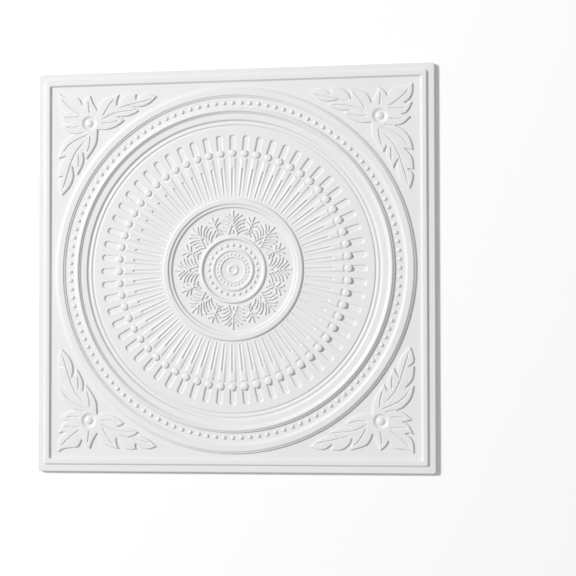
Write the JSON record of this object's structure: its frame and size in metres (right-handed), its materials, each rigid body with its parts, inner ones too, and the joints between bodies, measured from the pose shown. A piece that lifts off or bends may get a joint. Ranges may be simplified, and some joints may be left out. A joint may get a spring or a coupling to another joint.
{
  "type": "drop ceiling tile",
  "caption": "Square lay-in ceiling tile of formed white PVC sheet with a raised border, round medallion, radial flutes and leafy corners.",
  "frame": {"origin": "middle of the tile on the floor it lies on, under its turned-back rim", "axes": "+Z out of the decorated face, +X to the right and +Y to the top of the face as the picture shows it"},
  "size_m": [0.603, 0.603, 0.0146],
  "materials": {
    "white_pvc": "smooth white formed PVC with a soft satin surface"
  },
  "bodies": {
    "root": {"ceiling_tile": "white_pvc"}
  },
  "joints": []
}
